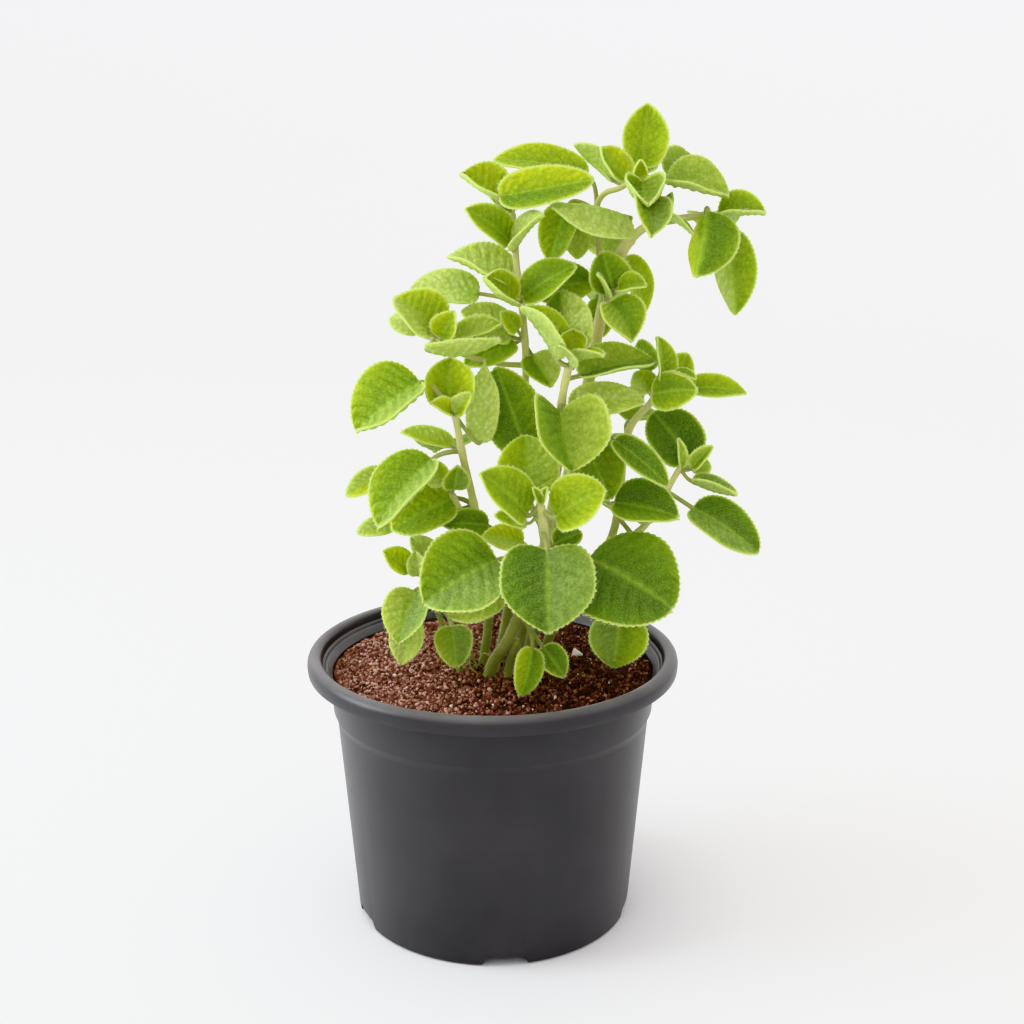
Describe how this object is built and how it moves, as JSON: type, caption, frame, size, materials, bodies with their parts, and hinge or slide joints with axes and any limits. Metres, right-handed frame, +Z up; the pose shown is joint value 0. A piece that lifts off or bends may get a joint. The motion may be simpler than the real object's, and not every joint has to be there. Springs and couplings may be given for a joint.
{
  "type": "potted indian borage",
  "caption": "Bushy Indian borage herb with thick velvety scalloped leaves on upright stems, growing in coir in a round black nursery pot.",
  "frame": {"origin": "on the pot's axis, in the plane that the pot stands on", "axes": "+Z up along the pot's axis, -Y towards the viewer of the leafiest side, +X to that viewer's right"},
  "size_m": [0.2023, 0.17, 0.368],
  "materials": {
    "pot": "black polypropylene, satin, slightly dusty",
    "coir": "red-brown crumbly coir with pale husk chips",
    "leaves": "fleshy yellow-green leaf, velvety with short hairs"
  },
  "bodies": {
    "root": {"pot": "pot", "coir": "coir", "tall_stem": "leaves", "back_stem": "leaves", "centre_stem": "leaves", "right_stem": "leaves", "left_stem": "leaves", "front_stem": "leaves", "low_stem": "leaves"}
  },
  "joints": []
}
